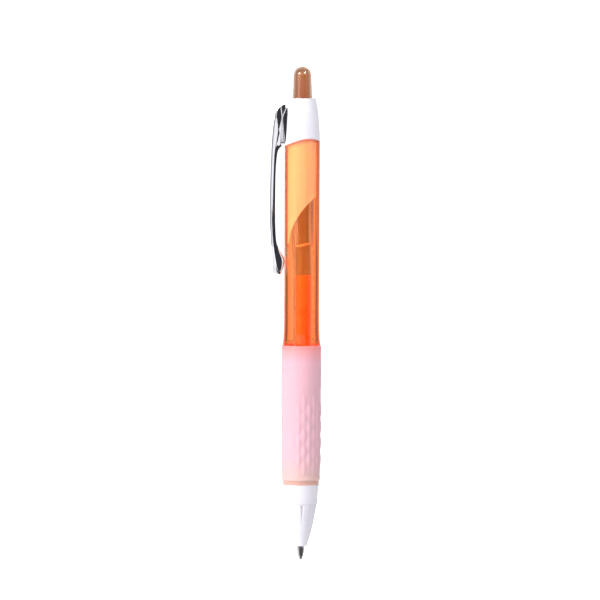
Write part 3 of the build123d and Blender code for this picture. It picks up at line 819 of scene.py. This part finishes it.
def clip_ring(z):
    """One cross-section of the channel, as a closed loop of points."""
    back = table_value(CLIP_BACK, z)
    inside = table_value(CLIP_INSIDE, z)
    half = table_value(CLIP_WIDTH, z)
    corner = min(table_value(CLIP_CORNER, z), 0.8 * half, 0.48 * (inside - back))
    belly = min(table_value(CLIP_BELLY, z), 0.48 * (inside - back))
    wall = min(SHEET, 0.4 * half)
    depth = back + SHEET
    if z < 89.5:
        depth = max(depth, inside - 0.02 - max(0.0, z - 88.0) / 1.5 * (inside - back - SHEET))
    if z < 88.0:
        depth = inside - 0.02
    if z > 130.9:
        depth = max(depth, inside - 0.3)
    depth = min(depth, inside - 0.02)
    turns = [pi / 2 * step / 8 for step in range(9)]
    side = [(inside - belly + belly * cos(t), half - belly + belly * sin(t)) for t in turns]
    for step in range(1, SIDE_POINTS):
        x = inside - belly + (back + corner - inside + belly) * step / SIDE_POINTS
        side.append((x, half + fold(x, z)))
    ring = [(x, -y) for x, y in side]
    lip = min(CORNER_DEPTH, corner)
    ring += [(back + corner - corner * sin(t), -half + lip - lip * cos(t)) for t in turns]
    ring += [(back + corner - corner * cos(t), half - lip + lip * sin(t)) for t in turns]
    ring += side[::-1]
    inner = max(0.05, min(half - wall, half - belly - 0.05))
    ring.append((inside, inner))
    ring.append((depth, inner))
    ring.append((depth, -inner))
    ring.append((inside, -inner))
    return [(x, y, z) for x, y in ring]


def make_clip():
    """Folded channel, with close rows in the creased head and wider ones down the arm."""
    head_rows = int((CLIP_TOP - HEAD_END) / HEAD_ROW)
    head = [CLIP_TOP - 0.05 - HEAD_ROW * step for step in range(head_rows)]
    levels = 150
    arm_length = head[-1] - HEAD_ROW - CLIP_BOTTOM - 0.05
    arm = [
        CLIP_BOTTOM + 0.05 + arm_length * (0.75 * share + 0.25 * share * share)
        for share in (1 - level / levels for level in range(levels + 1))
    ]
    rings = [clip_ring(z) for z in head + arm]
    piece = loft("clip_sheet", rings, closed=False, capped=True, sharp=40.0)
    place(piece, "clip", "clip_chrome", CHROME, "clip")
    # painted highlight: the faces whose normal points to -X glow white
    paint_faces(piece, CHROME_FACE_WITH_PAINTED_HIGHLIGHT, lambda middle, normal: normal.x < -0.8)
    piece.visible_shadow = False


# ---------------------------------------------------------------- knob
def make_knob():
    """Clear cap with a domed end and a frosted cavity."""
    dome_r = 2.56
    centre = KNOB_TOP - dome_r
    outside = [
        (1.95, KNOB_BOTTOM), (3.15, KNOB_BOTTOM), (3.2, KNOB_BOTTOM + 0.1),
        (3.2, KNOB_BOTTOM + 1.1), (3.15, KNOB_BOTTOM + 1.2), (2.86, KNOB_BOTTOM + 1.2),
    ]
    side = smooth_line([
        (2.86, 128.0), (2.8, 132.0), (2.75, 133.7), (2.67, 136.1), (2.59, 138.4)
    ], 5)
    dome = [
        (dome_r * cos(radians(turn)), centre + dome_r * sin(radians(turn)))
        for turn in range(0, 90, 6)
    ]
    cavity_top = KNOB_TOP - 0.8
    cavity = [
        (1.72 * sin(radians(turn)), centre + 1.7 * cos(radians(turn)))
        for turn in range(6, 91, 7)
    ]
    outline = outside + side + dome + [(0, KNOB_TOP), (0, cavity_top)] + cavity
    piece = lathe("knob_cap", outline, 128)
    place(piece, "knob", "clear_orange", BROWN, "knob")

    def in_cavity(middle, normal):
        return hypot(middle.x, middle.y) < 2.0 and middle.z < cavity_top + 0.01

    paint_faces(piece, FROSTED, in_cavity)


# ---------------------------------------------------------------- inner sleeve
# its lower end is cut along Y by a cylinder, and square below that
CUT_X = 11.6
CUT_Z = 91.9
CUT_R = 15.45
CUT_END = 91.25


def make_sleeve():
    """White lining of the barrel's upper half."""

    def warp(r, z, angle):
        if z < CUT_END + 1:
            x = r * cos(angle)
            across = CUT_R**2 - (x - CUT_X) ** 2
            end = CUT_Z + sqrt(across) if across > 0 else CUT_END
            return r, end + z - CUT_END
        return r, z

    outline = rounded([
        (MECHANISM_BORE_R, CUT_END), (LINING_R, CUT_END),
        (LINING_R, SPIGOT_TOP), (MECHANISM_BORE_R, SPIGOT_TOP),
    ], 0.12)
    piece = lathe("sleeve_lining", outline, 256, warp)
    # the lining's material carries painted light, a faint glow of its own
    place(piece, "barrel", "white_plastic", LINING_WITH_PAINTED_LIGHT, "inner_sleeve")


# ---------------------------------------------------------------- refill
# the ink and the grease wet the bore, so their surface runs just inside the wall
WET_R = FILL_R + 0.04
BOW = 0.6
MENISCUS_TILT = 0.3
BOW_DIRECTION = (0.956, -0.292)


def bow(z):
    """Sideways lean of the loose tube inside the barrel at a height."""
    rise = max(0.0, min(1.0, (z - TUBE_BOTTOM - 6) / 30))
    fall = max(0.0, min(1.0, (z - 82) / 12))
    return BOW * (rise * rise * (3 - 2 * rise) - 0.6 * fall * fall * (3 - 2 * fall))


def refill_lathe(name, outline, segments, tilt=0.0):
    """A turned piece of the refill, with the lean of the tube. tilt slants the meniscus."""
    rings = []
    for r, z in outline:
        lean = bow(z)
        slant = tilt * min(1.0, max(0.0, z - GREASE_TOP + 2))
        ring = []
        for i in range(segments):
            x = r * cos(tau * i / segments)
            y = r * sin(tau * i / segments)
            rise = slant * (x * BOW_DIRECTION[0] + y * BOW_DIRECTION[1])
            ring.append((x + lean * BOW_DIRECTION[0], y + lean * BOW_DIRECTION[1], z + rise))
        rings.append(ring)
    return loft(name, rings)


def along(r, low, high, steps=24):
    """A straight side divided into short lengths, so that it can lean."""
    return [(r, low + (high - low) * step / steps) for step in range(steps + 1)]


def make_refill():
    """Clear tube with its ink, and the grease plug above the ink."""
    bore = FILL_R + 0.02
    tube = (
        [(bore + 0.1, TUBE_BOTTOM), (REFILL_R - 0.1, TUBE_BOTTOM)]
        + along(REFILL_R, TUBE_BOTTOM + 0.1, TUBE_TOP - 0.1)
        + [(REFILL_R - 0.1, TUBE_TOP), (bore + 0.1, TUBE_TOP)]
        + along(bore, TUBE_TOP - 0.1, TUBE_BOTTOM + 0.1)
    )
    wall = refill_lathe("tube_wall", tube, 128)
    place(wall, "refill", "milky_plastic", MILKY, "refill_tube")

    def bore_above_ink(middle, normal):
        lean = bow(middle.z)
        off_axis = hypot(middle.x - lean * BOW_DIRECTION[0], middle.y - lean * BOW_DIRECTION[1])
        return off_axis < bore + 0.05 and middle.z > INK_TOP

    paint_faces(wall, FILM, bore_above_ink)
    ink = [(0, INK_BOTTOM)] + along(WET_R, INK_BOTTOM, INK_TOP) + [(0, INK_TOP)]
    place(refill_lathe("ink_fill", ink, 96), "refill", "orange_ink", INK, "ink_column")
    meniscus = [
        (WET_R * cos(radians(turn)), GREASE_TOP - 0.7 * sin(radians(turn)))
        for turn in range(0, 91, 9)
    ]
    grease = [(0, INK_TOP + 0.01)] + along(WET_R, INK_TOP + 0.01, GREASE_TOP, 6)[:-1] + meniscus
    filling = refill_lathe("grease_fill", grease, 96, MENISCUS_TILT)
    place(filling, "refill", "clear_grease", GREASE, "follower_grease")

    def curved_top(middle, normal):
        return middle.z > GREASE_TOP - 1.3 and normal.z > 0.15

    # painted highlight on the curved top of the grease
    paint_faces(filling, MENISCUS_HIGHLIGHT, curved_top)


def make_tip():
    """Turned cone with the socket of the ball and the ink channel."""
    cone = smooth_line([
        (0.42, 0.22), (0.6, 0.7), (0.79, 1.25), (0.93, 1.9), (1.07, 3.0), (TIP_R, 3.9),
        (TIP_R, 6.0),
    ], 6)
    outline = [(0.335, 0.2)] + cone + [
        (TIP_R, TIP_TOP - 0.2), (1.0, TIP_TOP), (0.5, TIP_TOP), (0.5, 2.1), (0.22, 1.8),
        (0.22, 0.76), (0.37, 0.66), (0.37, 0.32),
    ]
    piece = lathe("tip_cone", outline, 128)
    place(piece, "refill", "tip_steel", STEEL, "writing_tip")


def make_return_spring():
    """Coil between the seat in the nose and the shoulder of the tip holder."""
    low, high = heights("return_spring")
    wire = 0.18
    mean = radius("return_spring") - wire
    turns = 8.4
    steps = 60
    around = 10
    rings = []
    for step in range(int(turns * steps) + 1):
        share = step / (turns * steps)
        angle = tau * turns * share
        # end turns lie nearly flat
        rise = share + 0.35 * (share - 0.5) * (1 - (2 * share - 1) ** 2) * -1
        z = low + wire + (high - low - 2 * wire) * rise
        ring = []
        for i in range(around):
            turn = tau * i / around
            r = mean + wire * cos(turn)
            ring.append((r * cos(angle), r * sin(angle), z + wire * sin(turn)))
        rings.append(ring)
    piece = loft("spring_coil", rings, closed=False, capped=True, sharp=60.0)
    piece.data.materials.append(WIRE)
    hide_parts("return_spring")
    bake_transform(piece)


# ---------------------------------------------------------------- CAD nodes that stay
def dress(node, material):
    """Gives a CAD node its finished material."""
    mesh = nodes[node].data
    mesh.materials.clear()
    mesh.materials.append(material)


def dress_cad_nodes():
    """Materials of the inner parts that keep their CAD mesh."""
    for node in ("plunger", "rotor_cam", "cam_sleeve"):
        dress(node, NATURAL)
    for node in ("tip_holder", "tail_plug"):
        dress(node, MILKY)
    for node in ("writing_ball", "check_ball"):
        dress(node, CARBIDE)
    dress("seal_spring", WIRE)


# ---------------------------------------------------------------- studio
CAMERA_AZIMUTH = -17.0
CAMERA_ELEVATION = 2.3
CAMERA_DISTANCE = 1.6
FRAME_HEIGHT = 0.1727
FRAME_CENTRE_Z = 0.07494
FRAME_SHIFT = -0.00046
CAMERA_ROLL = 0.22


def make_camera():
    """A long lens far from the pen, so that its sides stay parallel."""
    turn = radians(CAMERA_AZIMUTH)
    tilt = radians(CAMERA_ELEVATION)
    back = Vector((sin(turn) * cos(tilt), -cos(turn) * cos(tilt), sin(tilt)))
    right = Vector((cos(turn), sin(turn), 0))
    target = right * FRAME_SHIFT + Vector((0, 0, FRAME_CENTRE_Z))
    data = bpy.data.cameras.new("camera")
    data.sensor_width = 36
    data.lens = 36 * CAMERA_DISTANCE / FRAME_HEIGHT
    data.clip_start = 0.05
    data.clip_end = 20
    camera = bpy.data.objects.new("camera", data)
    camera.location = target + back * CAMERA_DISTANCE
    level = back.to_track_quat("Z", "Y")
    camera.rotation_euler = (Quaternion(back, radians(CAMERA_ROLL)) @ level).to_euler()
    scene.collection.objects.link(camera)
    scene.camera = camera


def make_light(name, place_at, aim, size, power):
    """A soft rectangular lamp that no shiny surface reflects. size is (width, height) in metres."""
    data = bpy.data.lights.new(name, "AREA")
    data.shape = "RECTANGLE"
    data.size, data.size_y = size
    data.energy = power
    lamp = bpy.data.objects.new(name, data)
    lamp.location = place_at
    lamp.rotation_euler = (Vector(place_at) - Vector(aim)).to_track_quat("Z", "Y").to_euler()
    lamp.visible_glossy = False
    scene.collection.objects.link(lamp)


def make_card(name, place_at, aim, size, colour, glow, shades=False):
    """A card of (width, height) metres that faces a point.

    It shows only in reflections, or with shades it only takes light away.
    """
    material, tree, shader = new_material(name)
    grain = object_noise(tree, 20.0, 3.0)
    lighter = tuple(part * 1.1 for part in colour)
    tree.links.new(ramp(tree, grain, [(0.3, colour), (0.7, lighter)]), shader.inputs["Base Color"])
    set_values(shader, Roughness=0.9, Emission_Color=(1, 1, 1, 1), Emission_Strength=glow)
    mesh_data = bmesh.new()
    bmesh.ops.create_grid(mesh_data, x_segments=4, y_segments=4, size=0.5)
    card = new_object(name, mesh_data)
    card.scale = (*size, 1)
    card.location = place_at
    card.rotation_euler = (Vector(aim) - Vector(place_at)).to_track_quat("Z", "Y").to_euler()
    card.data.materials.append(material)
    card.visible_camera = False
    card.visible_diffuse = shades
    card.visible_glossy = not shades
    card.visible_transmission = False
    card.visible_shadow = False


def make_studio():
    """Pale floor, surround, lamp and cards."""
    material, tree, shader = new_material("floor_white")
    paper = object_noise(tree, 30.0, 5.0)
    tree.links.new(
        ramp(tree, paper, [(0.3, (0.93, 0.93, 0.935)), (0.7, (0.96, 0.96, 0.96))]),
        shader.inputs["Base Color"],
    )
    set_values(shader, Roughness=0.9, Emission_Color=(1, 1, 1, 1))
    seen = tree.nodes.new("ShaderNodeLightPath").outputs["Is Camera Ray"]
    tree.links.new(spread(tree, seen, 0.15, 0.9), shader.inputs["Emission Strength"])
    mesh_data = bmesh.new()
    bmesh.ops.create_grid(mesh_data, x_segments=8, y_segments=8, size=1.2)
    floor = new_object("floor", mesh_data)
    floor.location.z = -0.03
    floor.data.materials.append(material)

    # The surround is white behind the pen and grey elsewhere, so that clear plastic gets dark
    # edges. The camera sees it white all round.
    world = bpy.data.worlds.new("studio")
    world.use_nodes = True
    scene.world = world
    tree = world.node_tree
    coordinates = tree.nodes.new("ShaderNodeTexCoord")
    behind = tree.nodes.new("ShaderNodeVectorMath")
    behind.operation = "DOT_PRODUCT"
    turn = radians(CAMERA_AZIMUTH)
    behind.inputs[1].default_value = (-sin(turn), cos(turn), 0)
    tree.links.new(coordinates.outputs["Generated"], behind.inputs[0])
    depth = tree.nodes.new("ShaderNodeMapRange")
    depth.inputs["From Min"].default_value = -1.0
    tree.links.new(behind.outputs["Value"], depth.inputs["Value"])
    glow = ramp(tree, depth.outputs["Result"], [
        (0.0, (0.82, 0.82, 0.86)),
        (0.42, (0.80, 0.80, 0.84)),
        (0.56, (0.31, 0.30, 0.33)),
        (0.93, (0.33, 0.32, 0.35)),
        (0.96, (1.0, 1.0, 1.0)),
    ])
    path = tree.nodes.new("ShaderNodeLightPath")
    mix = tree.nodes.new("ShaderNodeMix")
    mix.data_type = "RGBA"
    mix.inputs["B"].default_value = (1, 1, 1, 1)
    tree.links.new(path.outputs["Is Camera Ray"], mix.inputs["Factor"])
    tree.links.new(glow, mix.inputs["A"])
    background = tree.nodes["Background"]
    tree.links.new(mix.outputs["Result"], background.inputs["Color"])
    background.inputs["Strength"].default_value = 1.25

    centre = (0, 0, 0.07)
    make_light("key", (-0.78, -0.26, 0.16), centre, (0.34, 1.0), 5.2)
    # dark and white cards for shiny surfaces, and one that shades the side of the nose cone
    dark = (0.02, 0.02, 0.025)
    make_card("card_front", (0.18, -0.59, 0.02), centre, (0.26, 0.7), dark, 0.0)
    make_card("card_low", (-0.10, -0.30, -0.028), (-0.10, -0.30, 1), (0.5, 0.56), dark, 0.0)
    white = (0.9, 0.9, 0.9)
    make_card("card_left", (-0.141, 0.889, 0.1), centre, (0.33, 0.8), white, 1.0)
    make_card("card_side", (0.082, -0.088, 0.003), (0, 0, 0.003), (0.2, 0.062), dark, 0.0, True)
    make_card("card_middle", (-0.125, -0.587, 0.058), centre, (0.92, 0.056), dark, 0.0)
    make_card("card_top_left", (-0.67, -0.31, 0.65), (0, 0, 0.14), (0.24, 0.26), white, 40.0)
    make_card("card_top_right", (0.31, -0.63, 0.7), (0, 0, 0.14), (0.2, 0.24), white, 50.0)

    scene.view_settings.view_transform = "Standard"
    scene.view_settings.look = "None"


make_barrel()
make_grip()
make_nose()
make_collar()
make_clip()
make_knob()
make_sleeve()
make_refill()
make_tip()
make_return_spring()
dress_cad_nodes()
make_camera()
make_studio()
